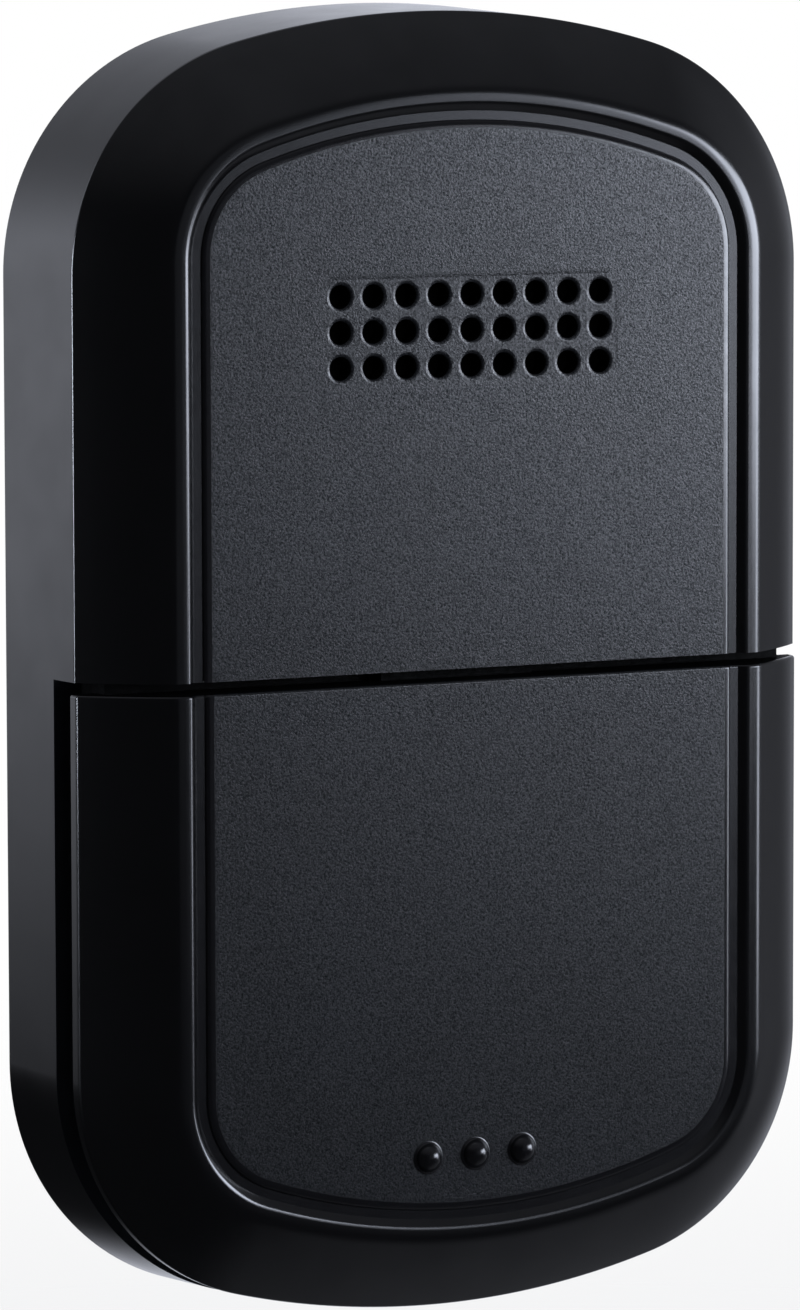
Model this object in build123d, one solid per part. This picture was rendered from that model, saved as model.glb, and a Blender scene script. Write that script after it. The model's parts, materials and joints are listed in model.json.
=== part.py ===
from build123d import *
import math
import os

os.makedirs("parts", exist_ok=True)

# A battery powered garage door unit: a shallow case with a sounder grille above a level seam
# and a sliding battery cover below it.
# Everything is drawn lying on its back: x across, y up the face, z out from the wall.
# stand_up() turns it so that the face looks along -Y and the back lies in the plane Y = 0.

# Outline of the front edge
body_width = 67.2
body_height = 106.7
corner_radius = 19.2
crown_radius = 74.7

# Outline of the crest that rings the face
crest_side_inset = 7.2
crest_end_inset = 7.1
crest_corner_radius = 10.5
crest_crown_radius = 61.4

# Depths out from the wall, the others measured from the deck under the cover
deck_depth = 12.4
face_rise = 4.0
edge_drop = 0.95
shoulder_drop = 4.4
lip_drop = 1.7
crest_rise = 0.2
strip_drop = 0.3

# Rim section, from the front edge in to the textured face
side_flare = 0.64
band_bulge = 0.35
crest_land = 1.1
crest_round = 1.3
inner_slope_width = 0.65
strip_width = 0.75
face_edge_round = 0.25

# Walls
wall = 2.0
deck_wall = 1.6
neck_inset = 2.2
neck_wall = 1.6
bulkhead_wall = 1.6
rear_wall = 2.0
rear_rebate = 1.1
rear_clearance = 0.1
rear_edge_chamfer = 0.3
rear_rib = 1.0
rear_rib_height = 0.7
rear_rib_across = 12.0
rear_rib_end_room = 16.6
overrun = 1.0
level_tolerance = 0.04

# Sounder grille
grille_top_room = 25.75
grille_columns = 9
grille_rows = 3
grille_pitch = 3.0
grille_row_pitch = 2.89
grille_bore = 1.9
grille_patch_width = 26.6
grille_patch_height = 8.3
grille_patch_sink = 0.12
grille_patch_corner = 0.8

# Battery cover
seam_gap = 0.96
cover_proud = 0.3
cover_edge_round = 0.55
cover_clearance = 0.15
cover_deck_clearance = 0.25
cover_end_wall = 1.4
rail_length = 26.0
rail_start = 6.0
rail_height = 1.0
rail_reach = 0.85
rail_clearance = 0.15
rail_root_clearance = 0.2
tongue_width = 14.0
tongue_thickness = 1.0
tongue_length = 2.2
tongue_clearance = 0.2
tongue_ridge = 0.22
cover_rib = 1.0
cover_rib_across = 16.0
grip_end_room = 13.35
grip_pitch = 4.39
grip_radius = 1.15
grip_sink = 0.15

# Mounting
keyhole_end_room = 9.95
keyhole_entry = 8.2
keyhole_slot = 4.4
keyhole_travel = 4.6
well_end_room = 10.35
well_bore = 8.6
well_wall = 1.3
well_floor = 4.0
anchor_bore = 4.4

# Case screws
screw_side_room = 10.1
screw_end_room = 12.75
screw_boss = 5.8
screw_shank = 2.2
screw_head = 4.6
screw_head_height = 1.3
screw_length = 9.0
screw_fit = 0.04
screw_plate_play = 0.3
screw_slot_width = 0.7
screw_tip_room = 1.0

# Circuit board
board_gap = 2.2
board_thickness = 1.6
board_inset = 3.2
board_top_room = 14.35
board_bottom_room = 16.75
board_post_side_room = 7.4
board_post_up = 10.5
board_post_end_room = 22.85
board_post = 4.8
board_screw_shank = 1.7
board_screw_head = 3.6
board_screw_head_height = 1.1
board_screw_end_room = 0.6
board_notch_clearance = 0.5

# Sounder
sounder_end_room = 23.35
sounder_wall = 0.9
sounder_disc_step = 1.5
sounder_disc_thickness = 0.25
sounder_ceramic_step = 4.0
sounder_ceramic_thickness = 0.2
sounder_disc_seat = 2.2
sounder_port = 5.0
sounder_pin_step = 2.0
sounder_pin_diameter = 0.8
sounder_pin_tail = 1.2
gasket_wall = 1.1
gasket_thickness = 2.15
mesh_thickness = 0.25

# Battery
cell_end_room = 28.85
cell_top_room = 7.0
cell_deck_drop = 0.1
cell_cap_step = 1.45
cell_cap_rise = 0.45
cell_seal_width = 0.75
cell_side_clearance = 0.25
holder_wall = 1.5
holder_floor = 0.8
holder_notch_width = 12.0
holder_rim_drop = 1.0
opening_clearance = 0.9
contact_thickness = 0.25
contact_width = 7.0
contact_reach = 6.5
contact_gap = 0.1
spring_lift = 0.45
spring_diameter = 15.0
spring_finger_width = 3.0

# Learn button, indicator and board parts
switch_holder_room = 1.5
switch_up_step = 7.0
switch_size = 6.0
switch_deck_room = 0.6
switch_plate = 0.3
button_diameter = 3.4
button_top_drop = 0.5
button_travel = 0.25
button_clearance = 0.05
button_hole = 5.4
button_collar = 0.3
button_round = 0.3
switch_corner = 0.3
switch_plate_step = 0.15
light_down_step = 3.5
light_diameter = 2.2
light_clearance = 0.05
light_round = 0.2
light_flange = 3.2
light_flange_thickness = 0.6
indicator_length = 1.6
indicator_width = 0.8
indicator_height = 0.6
part_gap = 1.5
shield_post_room = 0.8
shield_up = 3.4
shield_width = 17.0
shield_length = 12.0
shield_height = 2.6
shield_round = 0.8
shield_wall = 0.3
processor_size = 7.0
processor_height = 0.9
chip_corner = 0.1
mark_diameter = 0.8
mark_depth = 0.15
crystal_length = 5.0
crystal_width = 3.2
crystal_height = 1.1
crystal_corner = 0.3
crystal_lid_step = 0.3
motion_size = 3.0
motion_height = 1.0
capacitor_side_room = 9.4
capacitor_up = -8.0
capacitor_diameter = 6.3
capacitor_deck_room = 0.4
capacitor_base_size = 6.6
capacitor_base_height = 0.9
capacitor_base_corner = 0.3
capacitor_round = 0.3
capacitor_neck = 0.3
antenna_side_room = 6.9
antenna_top_room = 13.5
antenna_length = 14.0
antenna_rise = 3.6
antenna_width = 1.8
antenna_thickness = 0.4
chip_length = 1.6
chip_width = 0.8
chip_height = 0.6
chip_pitch = 2.6
chip_count = 6
chip_row_gap = 0.6

# Levels worked out from the sizes above
face_depth = deck_depth + face_rise
edge_depth = deck_depth - edge_drop
shoulder_depth = deck_depth - shoulder_drop
cover_lip_depth = deck_depth - lip_drop
crest_depth = face_depth + crest_rise
strip_depth = face_depth - strip_drop
board_back = rear_wall + board_gap
board_front = board_back + board_thickness
roof_depth = face_depth - wall
deck_under = deck_depth - deck_wall
face_inset = crest_side_inset + crest_land / 2 + inner_slope_width + strip_width
cell_bottom = board_front + holder_floor + contact_thickness + spring_lift
cell_top = deck_depth - cell_deck_drop
cover_under = deck_depth + cover_deck_clearance
sounder_top = roof_depth - mesh_thickness - gasket_thickness
switch_top = deck_under - switch_deck_room
switch_height = switch_top - board_front
plate_level = switch_top - switch_plate
button_level = deck_depth - button_top_drop
capacitor_top = deck_under - capacitor_deck_room
board_screw_length = deck_depth - board_screw_end_room - board_front

# Places on the face worked out from the sizes above
half_width = body_width / 2
half_height = body_height / 2
grille_height = half_height - grille_top_room
grip_height = grip_end_room - half_height
keyhole_height = half_height - keyhole_end_room
well_height = well_end_room - half_height
screw_across = half_width - screw_side_room
screw_up = half_height - screw_end_room
rear_rib_up = screw_up - rear_rib_end_room
board_top = half_height - board_top_room
board_bottom = board_bottom_room - half_height
board_post_across = half_width - board_post_side_room
board_post_down = board_post_end_room - half_height
sounder_diameter = half_height - sounder_end_room
sounder_disc_diameter = sounder_diameter - 2 * sounder_disc_step
sounder_ceramic_diameter = sounder_disc_diameter - 2 * sounder_ceramic_step
sounder_pin_across = sounder_ceramic_diameter / 2 - sounder_pin_step
sounder_disc_edge = sounder_disc_diameter / 2 - sounder_pin_step
cell_diameter = half_height - cell_end_room
cell_cap_diameter = cell_diameter - 2 * cell_cap_step
holder_radius = cell_diameter / 2 + cell_side_clearance + holder_wall
cell_height_up = -cell_top_room - holder_radius
switch_across = holder_radius + switch_holder_room + switch_size / 2
switch_up = cell_height_up + switch_up_step
light_up = cell_height_up - light_down_step
shield_across = shield_width / 2 + shield_post_room + board_post / 2 - board_post_across
processor_across = shield_across + shield_width / 2 + part_gap + processor_size / 2
crystal_across = processor_across + processor_size / 2 + part_gap + crystal_length / 2
motion_across = crystal_across + crystal_length / 2 + part_gap + motion_size / 2
capacitor_across = board_inset + capacitor_side_room - half_width
antenna_across = board_inset + antenna_side_room - half_width
antenna_up = board_top - antenna_top_room
resistor_up = shield_up - shield_length / 2 - chip_row_gap - chip_width / 2
filter_cap_up = shield_up + shield_length / 2 + chip_row_gap + chip_width / 2


# Face bounded by the rounded outline at one distance inside the front edge.
# The corner and crown radii change evenly between the front edge and the crest.
def outline(inset, depth=0):
    share = inset / crest_side_inset
    side = half_width - inset
    end = half_height - crest_end_inset * share
    corner = corner_radius + (crest_corner_radius - corner_radius) * share
    crown = crown_radius + (crest_crown_radius - crown_radius) * share
    corner_x = side - corner
    crown_y = end - crown
    corner_y = crown_y + math.sqrt((crown - corner) ** 2 - corner_x**2)
    turn = math.degrees(math.atan2(corner_y - crown_y, corner_x))
    crown_turn = 180 - 2 * turn
    edges = [
        Line((side, -corner_y), (side, corner_y)),
        CenterArc((corner_x, corner_y), corner, 0, turn),
        CenterArc((0, crown_y), crown, turn, crown_turn),
        CenterArc((-corner_x, corner_y), corner, 180 - turn, turn),
        Line((-side, corner_y), (-side, -corner_y)),
        CenterArc((-corner_x, -corner_y), corner, 180, turn),
        CenterArc((0, -crown_y), crown, 180 + turn, crown_turn),
        CenterArc((corner_x, -corner_y), corner, 360 - turn, turn),
    ]
    return Pos(0, 0, depth) * make_face(edges)


# Straight walled block inside one outline, between two depths.
def block(inset, low, high):
    return extrude(outline(inset, low), high - low)


# Block whose outline changes evenly from one depth to the next.
def tapered(low_inset, low, high_inset, high):
    return loft([outline(low_inset, low), outline(high_inset, high)], ruled=True)


# Upright round post or bore between two depths.
def post(across, up, diameter, low, high):
    return Pos(across, up, low) * extrude(Circle(diameter / 2), high - low)


# Box between two corners.
def box_between(low, high):
    size = [b - a for a, b in zip(low, high)]
    middle = [(a + b) / 2 for a, b in zip(low, high)]
    return Pos(*middle) * Box(*size)


# Everything above or below one height on the face.
def above(height):
    reach = body_height
    return box_between((-reach, height, -reach), (reach, height + reach, reach))


def below(height):
    reach = body_height
    return box_between((-reach, height - reach, -reach), (reach, height, reach))


# Copies of one solid mirrored left and right and up and down.
def at_four(across, up, solid):
    places = [(across, up), (-across, up), (across, -up), (-across, -up)]
    return [Pos(x, y, 0) * solid for x, y in places]


# Places of the four board posts.
def board_places():
    places = [(board_post_across, board_post_up), (-board_post_across, board_post_up)]
    return places + [(board_post_across, board_post_down), (-board_post_across, board_post_down)]


# Edges that lie level at one depth.
def level_edges(solid, depth):
    low = depth - level_tolerance
    return solid.edges().filter_by_position(Axis.Z, low, depth + level_tolerance)


# Convex glossy band that rises from the front edge to the crest, lifted for the cover.
def band_form(lift):
    rim_inset = crest_side_inset - crest_land / 2
    middle_depth = (edge_depth + crest_depth) / 2 + band_bulge
    low = outline(0, edge_depth + lift)
    middle = outline(rim_inset / 2, middle_depth + lift)
    high = outline(rim_inset, crest_depth + lift)
    return loft([low, middle, high])


# Dish inside the crest: a sloped inner wall, a smooth strip and the raised textured face.
def dished(form, lift):
    slope_top = crest_side_inset + crest_land / 2
    slope_foot = slope_top + inner_slope_width
    dish = tapered(slope_foot, strip_depth + lift, slope_top, crest_depth + lift)
    face = block(face_inset, strip_depth + lift - wall / 2, face_depth + lift)
    face = fillet(level_edges(face, face_depth + lift), face_edge_round)
    form = fillet(level_edges(form - dish, crest_depth + lift), crest_round)
    return form + face


# Outside of the whole case as one piece, before the cover's share is cut away.
def case_form():
    sides = tapered(-side_flare, 0, 0, edge_depth)
    return dished(sides + band_form(0), 0)


# Hollow of the upper half: straight inside the wall, then following the band up to the roof.
def upper_hollow():
    slope_start = edge_depth - wall / 2
    straight = block(wall, -overrun, slope_start)
    slope = tapered(wall, slope_start, crest_side_inset, roof_depth)
    return (straight + slope) & above(bulkhead_wall)


# Hollow of the lower half: wide behind the shoulder, narrower inside the neck under the deck.
def lower_hollow():
    behind_shoulder = block(wall, -overrun, shoulder_depth - wall)
    inside_neck = block(neck_inset + neck_wall, -overrun, deck_under)
    return behind_shoulder + inside_neck


# Grooves along both sides of the neck that the cover's rails run in, open at the foot.
def rail_grooves():
    low = cover_lip_depth - rail_clearance
    high = cover_lip_depth + rail_height + rail_clearance
    foot = -body_height
    head = -rail_start + rail_clearance
    inner = half_width - neck_inset + cover_clearance - rail_reach - rail_root_clearance
    right = box_between((inner, foot, low), (body_width, head, high))
    return right + mirror(right, Plane.YZ)


# Posts for the case screws and for the circuit board, held inside the outer form.
def inner_posts(form):
    case_posts = at_four(screw_across, screw_up, post(0, 0, screw_boss, rear_wall, roof_depth))
    board_posts = [post(x, y, board_post, board_front, roof_depth) for x, y in board_places()]
    well = post(0, well_height, well_bore + 2 * well_wall, well_floor, deck_depth)
    posts = case_posts + board_posts + [well]
    allowed = (form & above(0)) + block(neck_inset, 0, deck_depth)
    return [piece & allowed for piece in posts]


# Holes drilled in those posts for the screws' threads.
def post_bores():
    case_bore = post(0, 0, screw_shank + screw_fit, rear_wall, rear_wall + screw_length)
    bores = at_four(screw_across, screw_up, case_bore)
    low = board_front
    high = board_front + board_screw_length
    bore = board_screw_shank + screw_fit
    return bores + [post(x, y, bore, low, high) for x, y in board_places()]


# Openings in the deck under the cover: battery, learn button, light pipe and mounting screw.
def deck_openings():
    low = deck_under - overrun
    high = deck_depth + overrun
    battery_bore = 2 * (holder_radius + opening_clearance)
    battery = post(0, cell_height_up, battery_bore, low, high)
    button = post(switch_across, switch_up, button_hole, low, high)
    light = post(switch_across, light_up, light_diameter + 2 * light_clearance, low, high)
    screw_well = post(0, well_height, well_bore, well_floor, high)
    return [battery, button, light, screw_well]


# Slot in the bulkhead that takes the cover's tongue.
def tongue_slot():
    side = tongue_width / 2 + tongue_clearance
    top = cover_under + tongue_thickness + tongue_ridge + tongue_clearance
    return box_between((-side, -overrun, deck_depth), (side, bulkhead_wall + overrun, top))


# Sounder grille: a level patch sunk into the face and a grid of round holes through it.
def grille():
    patch = RectangleRounded(grille_patch_width, grille_patch_height, grille_patch_corner)
    sunk = Pos(0, grille_height, face_depth - grille_patch_sink) * extrude(patch, overrun)
    low = roof_depth - overrun
    grid = GridLocations(grille_pitch, grille_row_pitch, grille_columns, grille_rows)
    hole = post(0, grille_height, grille_bore, low, face_depth + overrun)
    return [sunk] + [place * hole for place in grid]


def front_housing():
    form = case_form()
    slab = box_between((-body_width, -body_height, 0), (body_width, body_height, shoulder_depth))
    neck = block(neck_inset, 0, deck_depth) & below(bulkhead_wall / 2)
    housing = (form & above(0)) + (form & slab) + neck
    housing = housing - upper_hollow() - lower_hollow() - block(rear_rebate, -overrun, rear_wall)
    housing = housing - rail_grooves()
    housing = housing + inner_posts(form)
    return housing - (post_bores() + deck_openings() + grille() + [tongue_slot()])


# Inside of the cover: room for the neck, then a hollow under the face behind the end wall.
def cover_hollow(lift):
    room = block(neck_inset - cover_clearance, 0, cover_under)
    hollow = tapered(neck_inset + wall / 2, cover_under, crest_side_inset, roof_depth + lift)
    return room + (hollow & below(-seam_gap - cover_end_wall))


# Rails inside the cover's side walls that hook into the neck's grooves.
def cover_rails():
    outer = half_width - neck_inset + cover_clearance
    low = (outer - rail_reach, -rail_start - rail_length, cover_lip_depth)
    high = (outer + wall / 2, -rail_start, cover_lip_depth + rail_height)
    right = box_between(low, high)
    return [right, mirror(right, Plane.YZ)]


# Tongue at the cover's upper end, with the ridge that snaps behind the bulkhead.
def cover_tongue():
    half = tongue_width / 2
    tip = bulkhead_wall + tongue_length
    top = cover_under + tongue_thickness
    leaf = box_between((-half, -seam_gap - cover_end_wall, cover_under), (half, tip, top))
    bead = Rot(0, 90, 0) * Cylinder(tongue_ridge, tongue_width)
    ridge = Pos(0, (bulkhead_wall + tip) / 2, top) * bead
    return leaf + ridge


# Stiffening ribs under the cover's face.
def cover_ribs(lift):
    hollow = tapered(neck_inset + wall / 2, cover_under, crest_side_inset, roof_depth + lift)
    ribs = []
    for across in (-cover_rib_across, 0, cover_rib_across):
        low = (across - cover_rib / 2, -body_height, cover_under)
        high = (across + cover_rib / 2, -seam_gap - cover_end_wall / 2, roof_depth + lift)
        ribs.append(box_between(low, high) & hollow)
    return ribs


# Three round grips for the thumb.
def grips(lift):
    level = face_depth + lift - grip_sink
    return [Pos(step * grip_pitch, grip_height, level) * Sphere(grip_radius) for step in (-1, 0, 1)]


def battery_cover():
    lift = cover_proud
    skirt = block(0, cover_lip_depth, edge_depth + lift)
    form = skirt + band_form(lift)
    form = fillet(level_edges(form, edge_depth + lift), cover_edge_round)
    form = dished(form, lift) & below(-seam_gap)
    cover = form - cover_hollow(lift)
    return cover + (cover_rails() + cover_ribs(lift) + grips(lift) + [cover_tongue()])


# Keyhole through the rear plate: a round entry for a screw head and a slot above it.
def keyhole():
    low = -overrun
    high = rear_wall + overrun
    entry = post(0, keyhole_height, keyhole_entry, low, high)
    slot_top = keyhole_height + keyhole_travel
    side = keyhole_slot / 2
    slot = box_between((-side, keyhole_height, low), (side, slot_top, high))
    return entry + slot + post(0, slot_top, keyhole_slot, low, high)


# Low ribs on the inner face of the rear plate.
def plate_ribs():
    top = rear_wall + rear_rib_height
    half = rear_rib / 2
    reach = screw_up - screw_boss / 2 - rear_rib
    ribs = []
    for across in (-rear_rib_across, rear_rib_across):
        ribs.append(box_between((across - half, -reach, 0), (across + half, reach, top)))
    side = screw_across
    for height in (-rear_rib_up, 0, rear_rib_up):
        ribs.append(box_between((-side, height - half, 0), (side, height + half, top)))
    return ribs


def rear_plate():
    plate = block(rear_rebate + rear_clearance, 0, rear_wall)
    plate = chamfer(level_edges(plate, 0), rear_edge_chamfer)
    boss = post(0, well_height, well_bore + 2 * well_wall, 0, well_floor)
    plate = plate + (plate_ribs() + [boss])
    anchor = post(0, well_height, anchor_bore, -overrun, well_floor + overrun)
    shank = post(0, 0, screw_shank + screw_plate_play, -overrun, rear_wall + overrun)
    sink = post(0, 0, screw_head + screw_plate_play, -overrun, screw_head_height)
    holes = at_four(screw_across, screw_up, shank) + at_four(screw_across, screw_up, sink)
    return plate - (holes + [anchor, keyhole()])


# Pan head screw whose head rests at one depth and whose shank points out from the wall.
def screw(shank, head, head_height, length):
    body = post(0, 0, head, -head_height, 0) + post(0, 0, shank, 0, length)
    body = fillet(level_edges(body, -head_height), head_height / 3)
    slot = screw_slot_width / 2
    reach = head / 3
    top = -head_height - overrun
    cross = box_between((-reach, -slot, top), (reach, slot, -head_height / 2))
    return body - cross - Rot(0, 0, 90) * cross


def housing_screws():
    one = screw(screw_shank, screw_head, screw_head_height, screw_length - screw_tip_room)
    return at_four(screw_across, screw_up, Pos(0, 0, screw_head_height) * one)


def board_screws():
    length = board_thickness + board_screw_length - screw_tip_room
    one = screw(board_screw_shank, board_screw_head, board_screw_head_height, length)
    return [Pos(x, y, board_back) * one for x, y in board_places()]


# Board outline follows the case, cut level at both ends and notched round the case posts.
def circuit_board():
    board = block(board_inset, board_back, board_front)
    board = board & below(board_top) & above(board_bottom)
    low = board_back - overrun
    high = board_front + overrun
    notch = screw_boss + 2 * board_notch_clearance
    cuts = at_four(screw_across, screw_up, post(0, 0, notch, low, high))
    for x, y in board_places():
        cuts.append(post(x, y, board_screw_shank + screw_plate_play, low, high))
    for x in (-sounder_pin_across, sounder_disc_edge):
        cuts.append(post(x, grille_height, sounder_pin_diameter + screw_plate_play, low, high))
    return board - cuts


# Sounder can, open towards the board, stepped inside to seat the disc, with a round port in front.
def sounder_case():
    can = post(0, grille_height, sounder_diameter, board_front, sounder_top)
    can = fillet(level_edges(can, sounder_top), sounder_wall / 2)
    seat = sounder_top - sounder_disc_seat
    back_bore = sounder_disc_diameter + 2 * rear_clearance
    back = post(0, grille_height, back_bore, board_front - overrun, seat)
    chamber_bore = sounder_disc_diameter - 2 * sounder_wall
    chamber = post(0, grille_height, chamber_bore, seat, sounder_top - sounder_wall)
    port = post(0, grille_height, sounder_port, board_front, sounder_top + overrun)
    return can - [back, chamber, port]


def sounder_disc():
    seat = sounder_top - sounder_disc_seat
    return post(0, grille_height, sounder_disc_diameter, seat - sounder_disc_thickness, seat)


def sounder_ceramic():
    top = sounder_top - sounder_disc_seat - sounder_disc_thickness
    return post(0, grille_height, sounder_ceramic_diameter, top - sounder_ceramic_thickness, top)


# Two spring pins from the board: one to the ceramic, one to the brass beside it.
def sounder_pins():
    low = board_back - sounder_pin_tail
    disc_back = sounder_top - sounder_disc_seat - sounder_disc_thickness
    ceramic_back = disc_back - sounder_ceramic_thickness
    inner = post(-sounder_pin_across, grille_height, sounder_pin_diameter, low, ceramic_back)
    outer = post(sounder_disc_edge, grille_height, sounder_pin_diameter, low, disc_back)
    return [inner, outer]


def acoustic_gasket():
    top = roof_depth - mesh_thickness
    ring = post(0, grille_height, sounder_diameter, sounder_top, top)
    bore = sounder_diameter - 2 * gasket_wall
    return ring - post(0, grille_height, bore, sounder_top - overrun, top + overrun)


def dust_mesh():
    return post(0, grille_height, sounder_diameter, roof_depth - mesh_thickness, roof_depth)


# Round tray that holds the coin cell, with a finger notch in its wall.
def battery_holder():
    outer = 2 * holder_radius
    inner = outer - 2 * holder_wall
    rim = cell_top - holder_rim_drop
    tray = post(0, cell_height_up, outer, board_front, rim)
    tray = chamfer(level_edges(tray, rim), holder_wall / 3)
    pocket = post(0, cell_height_up, inner, board_front + holder_floor, rim + overrun)
    side = holder_notch_width / 2
    low = board_front + holder_floor
    notch_top = (side, cell_height_up - inner / 3, rim + overrun)
    notch = box_between((-side, cell_height_up - outer, low), notch_top)
    return tray - [pocket, notch]


# Bent strip that rises beside the tray and reaches over the cell's edge.
def positive_contact():
    leg = cell_height_up + holder_radius
    outer = leg + contact_gap + contact_thickness
    inner = outer - contact_thickness
    tip = inner - holder_wall - contact_reach
    top = cell_top + contact_thickness
    section = Polyline(
        (inner, board_front),
        (outer, board_front),
        (outer, top),
        (tip, top),
        (tip, cell_top),
        (inner, cell_top),
        close=True,
    )
    half = contact_width / 2
    return extrude(Plane.YZ * Pos(0, 0, -half) * make_face(section), contact_width)


# Bowed leaf on the tray's floor that presses up against the cell.
def negative_contact():
    low = board_front + holder_floor
    half = spring_diameter / 2
    under = ThreePointArc((-half, low), (0, cell_bottom - contact_thickness), (half, low))
    rise = low + contact_thickness
    over = ThreePointArc((half, rise), (0, cell_bottom), (-half, rise))
    ends = [Line(under @ 1, over @ 0), Line(over @ 1, under @ 0)]
    section = make_face([under, over] + ends)
    width = spring_finger_width
    return Pos(0, cell_height_up + width / 2, 0) * extrude(Plane.XZ * section, width)


def cell_can():
    can = post(0, cell_height_up, cell_diameter, cell_bottom + cell_cap_rise, cell_top)
    return fillet(level_edges(can, cell_top), cell_cap_rise)


def cell_seal():
    top = cell_bottom + cell_cap_rise
    low = cell_bottom + cell_cap_rise / 3
    ring = post(0, cell_height_up, cell_cap_diameter + 2 * cell_seal_width, low, top)
    return ring - post(0, cell_height_up, cell_cap_diameter, low - overrun, top + overrun)


def cell_cap():
    cap = post(0, cell_height_up, cell_cap_diameter, cell_bottom, cell_bottom + cell_cap_rise)
    return fillet(level_edges(cap, cell_bottom), cell_cap_rise / 3)


def switch_cavity(low, high):
    bore = button_diameter + 2 * (button_collar + button_clearance)
    return post(switch_across, switch_up, bore, low, high)


# Square base of the learn switch with the well its button runs in.
def switch_base():
    half = switch_size / 2
    low = (switch_across - half, switch_up - half, board_front)
    high = (switch_across + half, switch_up + half, plate_level)
    base = box_between(low, high)
    base = chamfer(base.edges().filter_by(Axis.Z), switch_corner)
    return base - switch_cavity(board_front + switch_height / 3, plate_level + overrun)


def switch_plate_cover():
    half = switch_size / 2 - switch_plate_step
    low = (switch_across - half, switch_up - half, plate_level)
    high = (switch_across + half, switch_up + half, switch_top)
    plate = box_between(low, high)
    bore = button_diameter + 2 * button_clearance
    return plate - post(switch_across, switch_up, bore, plate_level - overrun, high[2] + overrun)


# Learn button: a round pin with a collar that the cover plate keeps in the well.
def learn_button():
    collar_top = plate_level - button_clearance
    collar_low = board_front + switch_height / 3 + button_travel + button_clearance
    pin = post(switch_across, switch_up, button_diameter, collar_low, button_level)
    pin = fillet(level_edges(pin, button_level), button_round)
    collar = button_diameter + 2 * button_collar
    return pin + post(switch_across, switch_up, collar, collar_low, collar_top)


def status_indicator():
    side = indicator_length / 2
    end = indicator_width / 2
    low = (switch_across - side, light_up - end, board_front)
    high = (switch_across + side, light_up + end, board_front + indicator_height)
    return box_between(low, high)


# Clear pipe from above the indicator to the deck's surface, with a flange under the deck.
def light_pipe():
    low = board_front + indicator_height + board_notch_clearance
    pipe = post(switch_across, light_up, light_diameter, low, deck_depth)
    pipe = fillet(level_edges(pipe, deck_depth), light_round)
    flange_low = deck_under - light_flange_thickness
    return pipe + post(switch_across, light_up, light_flange, flange_low, deck_under)


# Rounded block on the board.
def chip(across, up, length, width, height, corner):
    shape = RectangleRounded(length, width, corner)
    return Pos(across, up, board_front) * extrude(shape, height)


# Pressed metal lid over the radio circuit, open towards the board.
def radio_shield():
    lid = chip(shield_across, shield_up, shield_width, shield_length, shield_height, shield_round)
    lid = fillet(level_edges(lid, board_front + shield_height), shield_round / 2)
    inner = chip(
        shield_across,
        shield_up,
        shield_width - 2 * shield_wall,
        shield_length - 2 * shield_wall,
        shield_height - shield_wall,
        shield_round - shield_wall,
    )
    return lid - inner


def processor():
    size = processor_size
    body = chip(processor_across, shield_up, size, size, processor_height, chip_corner)
    corner = size / 2 - mark_diameter
    top = board_front + processor_height
    low = top - mark_depth
    return body - post(processor_across - corner, shield_up + corner, mark_diameter, low, top + overrun)


def crystal():
    foot = chip(
        crystal_across,
        shield_up,
        crystal_length,
        crystal_width,
        crystal_height / 2,
        crystal_corner,
    )
    inset = 2 * crystal_lid_step
    lid = chip(
        crystal_across,
        shield_up,
        crystal_length - inset,
        crystal_width - inset,
        crystal_height,
        crystal_corner / 2,
    )
    return foot + lid


def motion_sensor():
    return chip(motion_across, shield_up, motion_size, motion_size, motion_height, chip_corner)


def capacitor_base():
    return chip(
        capacitor_across,
        capacitor_up,
        capacitor_base_size,
        capacitor_base_size,
        capacitor_base_height,
        capacitor_base_corner,
    )


# Aluminium can with the rolled neck near its foot.
def capacitor_can():
    low = board_front + capacitor_base_height
    can = post(capacitor_across, capacitor_up, capacitor_diameter, low, capacitor_top)
    can = fillet(level_edges(can, capacitor_top), capacitor_round)
    neck = Torus(capacitor_diameter / 2, capacitor_neck)
    return can - Pos(capacitor_across, capacitor_up, low + capacitor_base_height) * neck


# Stamped antenna: a raised bar on two legs, cut from flat sheet.
def antenna():
    half = antenna_thickness / 2
    low = board_front
    high = board_front + antenna_rise
    foot = antenna_up - antenna_length / 2
    bar_low = (antenna_across - half, foot, high - antenna_width)
    bar = box_between(bar_low, (antenna_across + half, foot + antenna_length, high))
    legs = []
    for start in (foot, foot + antenna_length / 3):
        leg_low = (antenna_across - half, start, low)
        legs.append(box_between(leg_low, (antenna_across + half, start + antenna_width, high)))
    return bar + legs


# Row of small board parts.
def chip_row(up, count):
    first = shield_across - shield_width / 2 + chip_length
    places = [first + step * chip_pitch for step in range(count)]
    side = chip_length / 2
    end = chip_width / 2
    top = board_front + chip_height
    chips = []
    for across in places:
        low = (across - side, up - end, board_front)
        chips.append(box_between(low, (across + side, up + end, top)))
    return chips


def chip_resistors():
    return chip_row(resistor_up, chip_count)


def filter_capacitors():
    return chip_row(filter_cap_up, chip_count)


# Turn a drawn shape so that the face looks along -Y and the back lies on Y = 0.
def stand_up(shape):
    pieces = shape if isinstance(shape, list) else [shape]
    solids = [solid for piece in pieces for solid in piece.solids()]
    return Rot(90, 0, 0) * (solids[0] if len(solids) == 1 else Compound(children=solids))


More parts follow.
